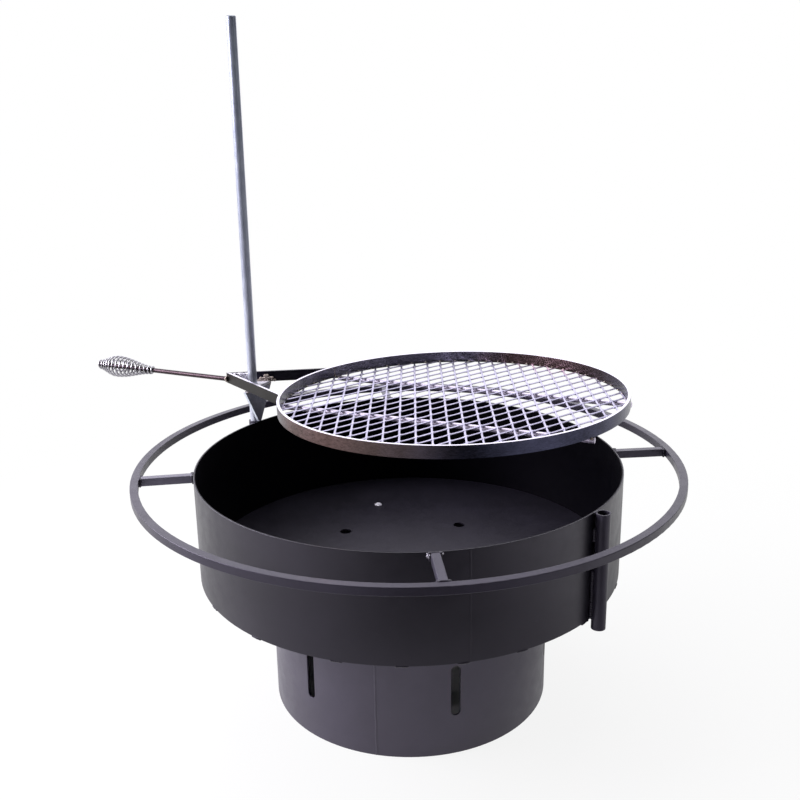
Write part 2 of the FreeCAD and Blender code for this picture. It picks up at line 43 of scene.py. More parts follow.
# Sizes of the object, in metres, in the same frame as the solids.
RIM = 0.442
BOWL_R = 0.381
BOWL_Z = 0.254
WALL = 0.003
BASE_R = 0.254
RING_INNER_R = 0.474
BAR = 0.014
SOCKET_REACH = 0.3933
POST_AZIMUTH = math.radians(135.8)
SPARE_AZIMUTH = math.radians(-45)
HOOP_REACH = 0.436
HOOP_R = 0.3175
HOOP_HEIGHT = 0.022
HOOP_THICKNESS = 0.005
HANDLE_R = 0.00475
RODS_ACROSS = (-0.115, 0.105)
ARM_ANGLE = math.radians(29.3)
ARM_HEIGHT = 0.021
ARM_HALF = 0.0025
ARM_BOTTOM = 0.027
PLATE_BOTTOM = 0.030
APEX_BACK = 0.058
PLATE_THICKNESS = 0.005
HANDLE_DROP = 0.019
HANDLE_END = 0.398
HANDLE_RISE = math.radians(0.9)
GRILL_ABOVE_RIM = 0.1004
GRILL_TURN = math.radians(-32.3)
GRILL_RISE = math.radians(1.8)
GRILL_CROSS = math.radians(-0.95)
RING_ARMS = (("right", -0.6), ("back", 90), ("left", 182.5), ("front", 269.5))

POST = Vector((SOCKET_REACH * math.cos(POST_AZIMUTH), SOCKET_REACH * math.sin(POST_AZIMUTH), RIM))
PIVOT = Matrix.Translation(POST + Vector((0, 0, GRILL_ABOVE_RIM))) @ Matrix.Rotation(GRILL_TURN, 4, "Z")
BRACE = PIVOT @ Matrix.Rotation(GRILL_CROSS, 4, "X")
GRILL = PIVOT @ Matrix.Rotation(-GRILL_RISE, 4, "Y") @ Matrix.Rotation(GRILL_CROSS, 4, "X")


# ---------------------------------------------------------------- materials

class Graph:
    """A node tree, with short calls for the nodes that finishes, floor and backdrop share."""

    def __init__(self, tree):
        self.nodes = tree.nodes
        self.links = tree.links

    def feed(self, value, socket):
        """Links or sets a socket; three numbers are a colour."""
        if isinstance(value, bpy.types.NodeSocket):
            self.links.new(value, socket)
        elif isinstance(value, tuple):
            socket.default_value = (*value, 1.0)
        else:
            socket.default_value = value

    def math(self, kind, first, second):
        node = self.nodes.new("ShaderNodeMath")
        node.operation = kind
        self.feed(first, node.inputs[0])
        self.feed(second, node.inputs[1])
        return node.outputs[0]

    def spread(self, value, low, high, to_low=0.0, to_high=1.0, smooth=False):
        """Carries the range low to high over to the other range, and stops at its ends."""
        node = self.nodes.new("ShaderNodeMapRange")
        if smooth:
            node.interpolation_type = "SMOOTHSTEP"
        node.inputs["From Min"].default_value = low
        node.inputs["From Max"].default_value = high
        node.inputs["To Min"].default_value = to_low
        node.inputs["To Max"].default_value = to_high
        self.links.new(value, node.inputs["Value"])
        return node.outputs["Result"]

    def along(self, source, way):
        """How far a vector reaches in one direction."""
        node = self.nodes.new("ShaderNodeVectorMath")
        node.operation = "DOT_PRODUCT"
        node.inputs[1].default_value = way
        self.links.new(source, node.inputs[0])
        return node.outputs["Value"]

    def from_axis(self, source):
        """How far a place is from the Z axis."""
        flat = self.nodes.new("ShaderNodeVectorMath")
        flat.operation = "MULTIPLY"
        flat.inputs[1].default_value = (1, 1, 0)
        self.links.new(source, flat.inputs[0])
        length = self.nodes.new("ShaderNodeVectorMath")
        length.operation = "LENGTH"
        self.links.new(flat.outputs[0], length.inputs[0])
        return length.outputs["Value"]


class Shade(Graph):
    """A node material with the calls that only the finishes need."""

    def __init__(self, name):
        self.material = bpy.data.materials.new(name)
        self.material.use_nodes = True
        super().__init__(self.material.node_tree)
        self.surface = self.nodes["Principled BSDF"]
        self.where = self.nodes.new("ShaderNodeTexCoord").outputs["Object"]

    def set(self, **values):
        """Feeds the shader's sockets, each named with _ for a space."""
        for name, value in values.items():
            self.feed(value, self.surface.inputs[name.replace("_", " ")])

    def scaled(self, stretch):
        node = self.nodes.new("ShaderNodeMapping")
        node.inputs["Scale"].default_value = stretch
        self.links.new(self.where, node.inputs["Vector"])
        return node.outputs["Vector"]

    def noise(self, scale, detail, rough, where=None):
        node = self.nodes.new("ShaderNodeTexNoise")
        node.inputs["Scale"].default_value = scale
        node.inputs["Detail"].default_value = detail
        node.inputs["Roughness"].default_value = rough
        self.links.new(where or self.where, node.inputs["Vector"])
        return node.outputs["Fac"]

    def within(self, radius):
        """One inside that radius from the Z axis and nought outside it."""
        soft = 0.0004
        return self.spread(self.from_axis(self.where), radius - soft, radius + soft, 1.0, 0.0)

    def facing(self, way, low, high):
        """Nought to one as the cosine of the angle to that direction goes from low to high."""
        normal = self.nodes.new("ShaderNodeTexCoord").outputs["Normal"]
        return self.spread(self.math("ABSOLUTE", self.along(normal, way), 0.0), low, high)

    def ramp(self, value, stops):
        """The shade between stops, each a place from nought to one and a colour."""
        node = self.nodes.new("ShaderNodeValToRGB")
        elements = node.color_ramp.elements
        elements.remove(elements[1])
        elements[0].position, colour = stops[0]
        elements[0].color = (*colour, 1)
        for position, colour in stops[1:]:
            elements.new(position).color = (*colour, 1)
        self.links.new(value, node.inputs["Fac"])
        return node.outputs["Color"]

    def mix(self, factor, first, second, kind="MIX"):
        node = self.nodes.new("ShaderNodeMix")
        node.data_type = "RGBA"
        node.blend_type = kind
        self.feed(factor, node.inputs["Factor"])
        self.feed(first, node.inputs[6])
        self.feed(second, node.inputs[7])
        return node.outputs[2]

    def bump(self, height, strength, distance, edge):
        rounded = self.nodes.new("ShaderNodeBevel")
        rounded.samples = 4
        rounded.inputs["Radius"].default_value = edge
        node = self.nodes.new("ShaderNodeBump")
        node.inputs["Strength"].default_value = strength
        node.inputs["Distance"].default_value = distance
        self.links.new(height, node.inputs["Height"])
        self.links.new(rounded.outputs["Normal"], node.inputs["Normal"])
        self.links.new(node.outputs["Normal"], self.surface.inputs["Normal"])


DUST = (0.09, 0.088, 0.10)
# Colour of the bowl's inside: painted shade, much darker than the coat outside.
INNER_PAINTED_SHADE = (0.0008, 0.0007, 0.0018)
INNER_SHINE = 0.10
INNER_DULLER = 0.12
COAT_TINT = (0.88, 0.82, 1.0)


def paint(name, dark, light, rough, inside=None, shine=0.42):
    """Satin powder coat with fine orange peel, soft patches of tone and a few dusty specks.

    Within the radius that inside gives, it is duller, and darker as painted shade of the bowl's inside.
    """
    shade = Shade(name)
    patches = shade.spread(shade.noise(7.0, 5.0, 0.6), 0.3, 0.7)
    tone = shade.mix(patches, dark, light)
    dust = shade.spread(shade.noise(420.0, 2.0, 0.6), 0.70, 0.80, 0.0, 0.35)
    tone = shade.mix(dust, tone, DUST)
    cloudy = shade.spread(shade.noise(38.0, 6.0, 0.7), 0.3, 0.7, rough - 0.05, rough + 0.07)
    if inside is not None:
        inner = shade.within(inside)
        # inside the bowl the colour turns darker: painted shade
        tone = shade.mix(inner, tone, INNER_PAINTED_SHADE)
        cloudy = shade.math("ADD", cloudy, shade.math("MULTIPLY", inner, INNER_DULLER))
        shine = shade.spread(inner, 0.0, 1.0, shine, INNER_SHINE)
    shade.set(Base_Color=tone, Roughness=cloudy, Specular_IOR_Level=shine, Specular_Tint=COAT_TINT)
    peel = shade.noise(900.0, 2.0, 0.5)
    shade.bump(peel, 0.18, 0.0004, 0.0012)
    return shade.material


def metal(name, dark, light, rough, stretch, scuff=0.25, edge=0.0008, metallic=1.0, painted_edge_highlight=None, tints=None):
    """Bare or plated steel: long drawn streaks, blotches, and small scuffs.

    cut gives a painted highlight, a paler tone on faces that look one way, and that way.
    tints gives a direction, the reach it covers, and the shades that multiply the tone along it.
    """
    shade = Shade(name)
    streaks = shade.noise(60.0, 8.0, 0.75, shade.scaled(stretch))
    blotches = shade.noise(24.0, 5.0, 0.6)
    both = shade.math("ADD", shade.math("MULTIPLY", streaks, 0.6), shade.math("MULTIPLY", blotches, 0.4))
    tone = shade.mix(shade.spread(both, 0.36, 0.64), dark, light)
    if tints is not None:
        way, low, high, stops = tints
        ragged = shade.spread(blotches, 0.3, 0.7, -0.03, 0.03)
        reach = shade.math("ADD", shade.along(shade.where, way), ragged)
        tone = shade.mix(1.0, tone, shade.ramp(shade.spread(reach, low, high), stops), "MULTIPLY")
    marks = shade.spread(shade.noise(310.0, 3.0, 0.7), 0.62, 0.72, 0.0, scuff)
    tone = shade.mix(marks, tone, tuple(part * 0.45 for part in dark))
    # faces that look that way are paler: a painted highlight on top faces and edges
    if painted_edge_highlight is not None:
        colour, way, low, high = painted_edge_highlight
        tone = shade.mix(shade.facing(way, low, high), tone, colour)
    gloss = shade.spread(streaks, 0.3, 0.7, rough - 0.06, rough + 0.10)
    shade.set(Base_Color=tone, Roughness=gloss, Metallic=metallic)
    shade.bump(streaks, 0.10, 0.0003, edge)
    return shade.material


UP = (0, 0, 1)
BRACE_WAY = (math.cos(GRILL_TURN), math.sin(GRILL_TURN), 0)
LONG = (1.0, 1.0, 8.0)
CHARCOAL = paint("charcoal_coat", (0.019, 0.017, 0.026), (0.033, 0.029, 0.045), 0.34)
# A much lighter copy of the coat for the left ring arm: a painted highlight on its lit top.
CHARCOAL_PAINTED_HIGHLIGHT = paint("charcoal_coat_painted_highlight", (0.105, 0.100, 0.130), (0.145, 0.138, 0.180), 0.36)
# A lighter copy of the coat for the ring arms: painted light, standing in for the light on their upper
# faces.
CHARCOAL_ARM_PAINTED_LIGHT = paint("charcoal_coat_arm_painted_light", (0.040, 0.037, 0.052), (0.060, 0.056, 0.078), 0.34)
# A lighter copy of the coat for the base drum: painted light, standing in for light bounced from the pale
# floor.
CHARCOAL_BASE_PAINTED_BOUNCE = paint("charcoal_coat_base_painted_bounce_light", (0.027, 0.023, 0.036), (0.040, 0.035, 0.054), 0.38,
                      shine=0.85)
# The bowl's coat, darkened inside by painted shade.
CHARCOAL_BOWL_INSIDE_SHADE = paint("charcoal_coat_bowl_inside_painted_shade", (0.006, 0.0052, 0.0085), (0.012, 0.0105, 0.016), 0.36,
                      BOWL_R - WALL / 2, shine=0.60)
CHARCOAL_FLOOR = paint("charcoal_coat_floor", (0.008, 0.0072, 0.012), (0.015, 0.0135, 0.022), 0.44)
WELD_PAINT = paint("charcoal_coat_weld", (0.010, 0.009, 0.013), (0.024, 0.021, 0.031), 0.30)
# The post is darker towards the top.
ZINC = metal("zinc_bar", (0.44, 0.47, 0.56), (0.90, 0.93, 1.0), 0.36, (6, 6, 0.8), metallic=0.50,
             tints=(UP, 0.44, 1.2,
                    ((0.0, (1.0, 1.0, 1.0)), (0.22, (0.62, 0.63, 0.68)),
                     (0.45, (0.44, 0.45, 0.50)), (1.0, (0.34, 0.36, 0.40)))))
# Near white and not metallic: painted light, brighter than the plating, on the pivot plate, bolts, washers
# and nuts.
ZINC_PLATE_PAINTED_LIGHT = metal("zinc_plate_painted_light", (0.78, 0.76, 0.86), (0.96, 0.94, 1.0), 0.46, (3, 3, 3), metallic=0.0)
BRACE_ZINC = metal("brace_zinc", (0.18, 0.18, 0.24), (0.34, 0.34, 0.43), 0.40, (3, 3, 3), metallic=0.6,
                   painted_edge_highlight=((0.80, 0.86, 0.95), BRACE_WAY, 0.8, 0.5))
HOOP_STEEL = metal("hoop_steel", (0.10, 0.097, 0.105), (0.32, 0.31, 0.34), 0.28, (2.0, 2.0, 9.0),
                   painted_edge_highlight=((0.72, 0.69, 0.78), UP, 0.5, 0.8),
                   tints=((1.0, -1.2, 0), -0.50, 0.42,
                          ((0.0, (0.9, 0.9, 0.95)), (0.25, (0.95, 0.95, 1.0)),
                           (0.42, (1.0, 0.70, 0.61)), (0.60, (0.72, 0.48, 0.42)),
                           (0.76, (0.46, 0.34, 0.31)), (1.0, (0.22, 0.23, 0.36)))))
NEAR_ARM_STEEL = metal("near_arm_steel", (0.013, 0.011, 0.011), (0.036, 0.031, 0.030), 0.36, LONG,
                       painted_edge_highlight=((0.70, 0.67, 0.76), UP, 0.5, 0.8))
FAR_ARM_STEEL = metal("far_arm_steel", (0.022, 0.020, 0.032), (0.058, 0.053, 0.075), 0.36, LONG)
HANDLE_STEEL = metal("handle_steel", (0.026, 0.018, 0.021), (0.070, 0.050, 0.058), 0.36, LONG)
ROD_STEEL = metal("rod_steel", (0.48, 0.43, 0.54), (0.80, 0.73, 0.90), 0.34, (2.0, 2.0, 6.0), metallic=0.7)
GRATE_STEEL = metal("grate_steel", (0.27, 0.255, 0.35), (0.58, 0.55, 0.72), 0.34, (4, 4, 4), 0.15, 0.0004)
SPRING_STEEL = metal("spring_wire", (0.26, 0.25, 0.27), (0.60, 0.59, 0.63), 0.18, (8, 8, 8), 0.15)
WELD_RAW = metal("weld_metal", (0.28, 0.23, 0.20), (0.62, 0.54, 0.49), 0.40, (5, 5, 5), 0.4, metallic=0.6)
WELD_BRIGHT = metal("weld_spatter", (0.42, 0.40, 0.47), (0.92, 0.90, 0.98), 0.34, (5, 5, 5), 0.5,
                    metallic=0.45)

FINISHES = {
    "bowl_shell": CHARCOAL_BOWL_INSIDE_SHADE, "bowl_floor": CHARCOAL_FLOOR, "base_drum": CHARCOAL_BASE_PAINTED_BOUNCE,
    "base_tab_1": CHARCOAL, "base_tab_2": CHARCOAL, "base_tab_3": CHARCOAL,
    "outer_ring": CHARCOAL, "ring_arm_right": CHARCOAL_ARM_PAINTED_LIGHT, "ring_arm_back": CHARCOAL_ARM_PAINTED_LIGHT,
    "ring_arm_left": CHARCOAL_PAINTED_HIGHLIGHT, "ring_arm_front": CHARCOAL_ARM_PAINTED_LIGHT,
    "post_socket": CHARCOAL, "post_socket_stop": CHARCOAL,
    "spare_socket": CHARCOAL, "spare_socket_stop": CHARCOAL,
    "floor_bolts": ZINC_PLATE_PAINTED_LIGHT, "floor_washers": ZINC_PLATE_PAINTED_LIGHT, "floor_nuts": ZINC_PLATE_PAINTED_LIGHT,
    "post": ZINC, "pivot_plate": ZINC_PLATE_PAINTED_LIGHT, "brace_plate": BRACE_ZINC,
    "near_arm": NEAR_ARM_STEEL, "far_arm": FAR_ARM_STEEL, "grill_hoop": HOOP_STEEL,
    "grill_mesh": GRATE_STEEL, "support_rod_near": ROD_STEEL, "support_rod_far": ROD_STEEL,
    "handle_rod": HANDLE_STEEL, "spring_grip": SPRING_STEEL,
}
for node, finish in FINISHES.items():
    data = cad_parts[node].data
    if not data.materials:
        data.materials.append(finish)
    for index in range(len(data.materials)):
        data.materials[index] = finish


# ---------------------------------------------------------------- mesh helpers

def new_piece(name, verts, faces, finish, body, smooth=True):
    """Makes a mesh object that rides on a body."""
    data = bpy.data.meshes.new(name)
    data.from_pydata([tuple(v) for v in verts], [], faces)
    data.materials.append(finish)
    data.validate()
    data.update()
    if smooth:
        data.shade_smooth()
    piece = bpy.data.objects.new(name, data)
    bpy.context.scene.collection.objects.link(piece)
    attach(piece, body)
    return piece


def tube(verts, faces, points, radii, sides=10):
    """Adds a closed tube along the points."""
    first = len(verts)
    count = len(points)
    side = None
    for number, point in enumerate(points):
        ahead = points[min(number + 1, count - 1)] - points[max(number - 1, 0)]
        ahead.normalize()
        if side is None:
            side = ahead.orthogonal()
        side = (side - ahead * side.dot(ahead)).normalized()
        up = ahead.cross(side)
        for step in range(sides):
            turn = 2 * math.pi * step / sides
            way = side * math.cos(turn) + up * math.sin(turn)
            verts.append(point + way * radii[number])
    for number in range(count - 1):
        low = first + number * sides
        for step in range(sides):
            after = (step + 1) % sides
            faces.append((low + step, low + after, low + sides + after, low + sides + step))
    faces.append(tuple(first + step for step in reversed(range(sides))))
    faces.append(tuple(first + (count - 1) * sides + step for step in range(sides)))


def weld_bead(verts, faces, path, radius, ripple=0.0022, seed=0.0):
    """A weld bead: a run of overlapping scales that tapers at both ends."""
    lengths = [0.0]
    for start, end in zip(path, path[1:]):
        lengths.append(lengths[-1] + (end - start).length)
    total = lengths[-1]
    steps = max(8, int(total / ripple * 6))
    points = []
    radii = []
    for step in range(steps + 1):
        along = total * step / steps
        number = 0
        while number < len(path) - 2 and lengths[number + 1] < along:
            number += 1
        span = lengths[number + 1] - lengths[number]
        point = path[number].lerp(path[number + 1], (along - lengths[number]) / span)
        wander = noise.noise(Vector((along * 160, seed, 3.7)))
        scale = 0.80 + 0.20 * abs(math.sin(math.pi * along / ripple + seed)) + 0.22 * wander
        end = min(along, total - along)
        taper = math.sqrt(min(1.0, end / radius + 0.04))
        points.append(point + noise.noise_vector(Vector((along * 90, seed, 9.1))) * radius * 0.12)
        radii.append(radius * scale * taper)
    tube(verts, faces, points, radii)


def blob(verts, faces, centre, radius, seed, flat=1.0):
    """A lumpy drop of weld metal."""
    rings = 7
    sides = 10
    first = len(verts)
    for ring in range(rings + 1):
        polar = math.pi * ring / rings
        for step in range(sides):
            turn = 2 * math.pi * step / sides
            way = Vector((math.sin(polar) * math.cos(turn), math.sin(polar) * math.sin(turn),
                          math.cos(polar) * flat))
            lump = 1 + 0.28 * noise.noise(way * 1.8 + Vector((seed * 7.1, seed, 0)))
            verts.append(centre + way * (radius * lump))
    for ring in range(rings):
        for step in range(sides):
            after = (step + 1) % sides
            low = first + ring * sides
            faces.append((low + step, low + sides + step, low + sides + after, low + after))


def around(radius, azimuth, z):
    return Vector((radius * math.cos(azimuth), radius * math.sin(azimuth), z))


def ways(azimuth):
    """The way out from the Z axis at an azimuth, and the level way across it."""
    return (Vector((math.cos(azimuth), math.sin(azimuth), 0)),
            Vector((-math.sin(azimuth), math.cos(azimuth), 0)))


def arc_path(radius, start, end, z, steps=12):
    return [around(radius, start + (end - start) * step / steps, z) for step in range(steps + 1)]


# ---------------------------------------------------------------- welds on the pit

def arm_welds(name, azimuth, seed):
    """Fillet beads round both ends of one ring arm."""
    upright, level, drop = 0.0031, 0.0020, 0.0034
    beside, short, inward = 0.0010, 0.0008, 0.0008
    ends = ((BOWL_R + 0.0012, RIM - 0.0010), (RING_INNER_R - 0.0014, RIM - 0.0003))
    half = BAR / 2
    verts, faces = [], []
    out, across = ways(azimuth)
    for end, (reach, top) in enumerate(ends):
        for side in (-1, 1):
            low = out * reach + across * side * (half + beside) + Vector((0, 0, RIM - BAR))
            high = low + Vector((0, 0, BAR - short))
            weld_bead(verts, faces, [low, high], upright, seed=seed + side + end * 5)
            corner = high + out * inward * (1 - 2 * end)
            blob(verts, faces, corner, drop, seed + side * 2 + end, 0.55)
        for number, z in enumerate((RIM - BAR - short, top)):
            start = out * reach - across * half + Vector((0, 0, z))
            weld_bead(verts, faces, [start, start + across * BAR], level, seed=seed + 9 + number + end)
    new_piece(name, verts, faces, WELD_PAINT, "pit")


for number, (side, degrees) in enumerate(RING_ARMS):
    arm_welds("weld_arm_" + side, math.radians(degrees), 3.1 * number + 1)


def socket_welds(name, azimuth, stitches, seed):
    """Stitch beads in the two grooves between a socket tube and the bowl wall."""
    bead, cap_bead, ripple = 0.0034, 0.0020, 0.0042
    groove_out, groove_aside = 0.0022, 0.0082
    cap_out, cap_half, cap_drop = 0.0010, 0.008, 0.0014
    verts, faces = [], []
    out, across = ways(azimuth)
    for side in (-1, 1):
        for number, (low, high) in enumerate(stitches):
            foot = out * (BOWL_R + groove_out) + across * side * groove_aside
            path = [foot + Vector((0, 0, low)), foot + Vector((0, 0, high))]
            weld_bead(verts, faces, path, bead, ripple, seed + side + number * 3)
    cap = out * (BOWL_R + cap_out) + Vector((0, 0, RIM - cap_drop))
    weld_bead(verts, faces, [cap - across * cap_half, cap + across * cap_half], cap_bead, seed=seed + 8)
    new_piece(name, verts, faces, WELD_PAINT, "pit")


socket_welds("weld_spare_socket", SPARE_AZIMUTH, [(0.255, 0.344), (0.392, 0.418)], 2.0)
socket_welds("weld_post_socket", POST_AZIMUTH, [(0.258, 0.338), (0.388, 0.420)], 5.0)


def stitches(name, azimuths, half_length, radius, z, bead, ripple, steps, seed_step):
    """Short runs of weld round a wall, at those azimuths in degrees."""
    verts, faces = [], []
    for number, azimuth in enumerate(azimuths):
        middle = math.radians(azimuth)
        path = arc_path(radius, middle - half_length, middle + half_length, z, steps)
        weld_bead(verts, faces, path, bead, ripple, number * seed_step)
    new_piece(name, verts, faces, WELD_PAINT, "pit")


# Short stitches along the bowl's lower edge, where they show, and evenly at the back.
stitches("weld_bowl_edge",
         (-155.8, -136.3, -113.6, -98.2, -83.9, -69.1, -48.0, -26.1,
          -4.0, 18.0, 41.0, 63.0, 87.0, 110.0, 133.0, 157.0, 179.0),
         0.011 / BOWL_R, BOWL_R - 0.0018, BOWL_Z - 0.0006, 0.0026, 0.0030, 6, 1.7)
# The fillet where the base meets the floor, in longer stitches.
stitches("weld_base_top", [-99 + 45 * number for number in range(8)],
         0.024 / BASE_R, BASE_R + 0.0014, BOWL_Z - 0.0014, 0.0034, 0.0038, 12, 2.3)


def seam(name, finish, radius, azimuth, low, high, width, proud, seed):
    """A ground-back butt weld: a thin wavy ridge down a rolled wall."""
    verts, faces = [], []
    steps = 90
    for step in range(steps + 1):
        z = low + (high - low) * step / steps
        sway = 0.0009 * noise.noise(Vector((z * 40, seed, 0)))
        swell = 1 + 0.5 * noise.noise(Vector((z * 120, seed, 5)))
        for share, rise in ((-1, -0.4), (-0.55, 0.7), (0, 1.0), (0.55, 0.7), (1, -0.4)):
            turn = azimuth + (sway + share * width / 2) / radius
            verts.append(around(radius + proud * rise * (swell if rise > 0 else 1), turn, z))
    for step in range(steps):
        for part in range(4):
            low_corner = step * 5 + part
            faces.append((low_corner, low_corner + 1, low_corner + 6, low_corner + 5))
    new_piece(name, verts, faces, finish, "pit")


seam("seam_base", CHARCOAL_BASE_PAINTED_BOUNCE, BASE_R, math.radians(-109.8),
     0.0006, BOWL_Z - 0.0004, 0.0046, 0.0012, 1.0)
seam("seam_bowl", CHARCOAL_BOWL_INSIDE_SHADE, BOWL_R, math.radians(-82.5),
     BOWL_Z + 0.0008, RIM - 0.0006, 0.0040, 0.00022, 4.0)


# ---------------------------------------------------------------- grate

def make_grate():
    """Expanded metal: strands with a slight twist, joined at flat knuckles, cut at the hoop."""
    long_half = 0.062 / 2
    short_half = 0.030 / 2
    reach = HOOP_R - HOOP_THICKNESS - 0.0003
    width = 0.0034
    thick = 0.0030
    most_lean = math.radians(24)
    knuckle_margin = 0.008
    sections = 7
    samples = 60
    section_outline = ((-1, -0.6), (-1, 0.6), (-0.8, 1), (0.8, 1),
                       (1, 0.6), (1, -0.6), (0.8, -1), (-0.8, -1))
    tip, shoulder, waist = 0.0075, 0.0038, 0.0024
    knuckle_outline = ((-tip, 0), (-shoulder, waist), (shoulder, waist),
                       (tip, 0), (shoulder, -waist), (-shoulder, -waist))
    knuckle_levels = ((0.0001, 0.92), (0.0006, 1.0), (0.0024, 1.0), (0.0029, 0.90))
    place = GRILL @ Matrix.Translation(Vector((HOOP_REACH, 0, -HOOP_HEIGHT)))
    verts, faces = [], []

    def skin(first, levels, sides):
        """Faces round a stack of outlines, and a cap at each end."""
        for level in range(levels - 1):
            low = first + level * sides
            for corner in range(sides):
                after = (corner + 1) % sides
                faces.append((low + corner, low + after, low + sides + after, low + sides + corner))
        top = first + (levels - 1) * sides
        faces.append(tuple(first + corner for corner in reversed(range(sides))))
        faces.append(tuple(top + corner for corner in range(sides)))

    def strand(start, end):
        run = end - start
        ahead = run.normalized()
        flat = Vector((-ahead.y, ahead.x, 0))
        # keep the stretch that lies inside the hoop
        shares = [step / samples for step in range(samples + 1)
                  if (start + run * (step / samples)).length <= reach]
        if len(shares) < 6:
            return
        first = len(verts)
        for section in range(sections):
            share = shares[0] + (shares[-1] - shares[0]) * section / (sections - 1)
            bulge = abs(2 * share - 1)
            lean = most_lean * math.cos(math.pi * (share - 0.5)) ** 0.5 if 0 < share < 1 else 0.0
            half_w = width / 2 * (1 + 0.25 * bulge ** 4)
            half_t = thick / 2 * 0.94
            side = flat * math.cos(lean) + Vector((0, 0, math.sin(lean)))
            over = Vector((0, 0, math.cos(lean))) - flat * math.sin(lean)
            centre = start + run * share + Vector((0, 0, thick / 2))
            # a leaning strand is squeezed so that it stays as thick as the sheet
            fit = min(1.0, (thick / 2) / (half_w * abs(math.sin(lean)) + half_t * math.cos(lean)))
            for a, b in section_outline:
                spot = side * (a * half_w) + over * (b * half_t * fit)
                spot.z *= fit
                verts.append(centre + spot)
        skin(first, sections, len(section_outline))

    def knuckle(centre):
        first = len(verts)
        for height, inset in knuckle_levels:
            for along, over in reversed(knuckle_outline):
                verts.append(centre + Vector((over * inset, along * inset, height)))
        skin(first, len(knuckle_levels), len(knuckle_outline))

    rows = math.ceil(reach / short_half) + 1
    columns = math.ceil(reach / long_half) + 1
    for row in range(-rows, rows + 1):
        for column in range(-columns, columns + 1):
            if (row + column) % 2 == 0:
                continue
            here = Vector((row * short_half, column * long_half, 0))
            if here.length < reach - knuckle_margin:
                knuckle(here)
            for step in (-1, 1):
                there = Vector(((row + 1) * short_half, (column + step) * long_half, 0))
                if min(here.length, there.length) < reach:
                    strand(here, there)
    verts[:] = [place @ v for v in verts]
    grate = new_piece("grate", verts, faces, GRATE_STEEL, "grill", smooth=False)
    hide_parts("grill_mesh")


make_grate()


# ---------------------------------------------------------------- grip

def make_grip():
    """The wound wire of the grip: one unbroken tube whose turns swell and close in."""
    wire = 0.0040
    turns = 15.5
    steps_each_turn = 40
    length = 0.147
    widest, end_share = 0.65, 0.08
    least = HANDLE_R + 0.0003 + wire / 2
    most = 0.023 - wire / 2
    apex = APEX_BACK + ARM_HALF / math.sin(ARM_ANGLE) + 0.0002
    place = (GRILL @ Matrix.Translation(Vector((-apex, 0, -HANDLE_DROP)))
             @ Matrix.Rotation(math.pi, 4, "Z") @ Matrix.Rotation(-HANDLE_RISE, 4, "Y")
             @ Matrix.Translation(Vector((HANDLE_END - apex - length, 0, 0))))
    steps = int(turns * steps_each_turn)
    points = []
    for step in range(steps + 1):
        share = step / steps
        if share < widest:
            radius = least + (most - least) * math.sin(math.pi / 2 * share / widest) ** 2
        else:
            fall = math.cos(math.pi / 2 * (share - widest) / (1 - widest)) ** 2
            radius = least + (most - least) * (end_share + (1 - end_share) * fall)
        turn = 2 * math.pi * turns * share
        points.append(Vector((length * share, radius * math.cos(turn), radius * math.sin(turn))))
    start_way = (points[0] - points[1]).normalized()
    end_way = (points[-1] - points[-2]).normalized()
    points = [points[0] + start_way * wire] + points + [points[-1] + end_way * wire * 0.35]
    points = [place @ point for point in points]
    verts, faces = [], []
    tube(verts, faces, points, [wire / 2] * len(points), 14)
    grip = new_piece("grip_wire", verts, faces, SPRING_STEEL, "grill")
    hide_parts("spring_grip")


make_grip()


# ---------------------------------------------------------------- welds on the grill

ARM_WAY = Vector((math.cos(ARM_ANGLE), math.sin(ARM_ANGLE)))


def on_grill(x, y, z):
    return GRILL @ Vector((x, y, z))


def by_arm(side, along, inside):
    """A place by an arm, so far along it from the apex and so far inside its middle line."""
    return Vector((along * ARM_WAY.x + inside * ARM_WAY.y - APEX_BACK,
                   side * (along * ARM_WAY.y - inside * ARM_WAY.x)))


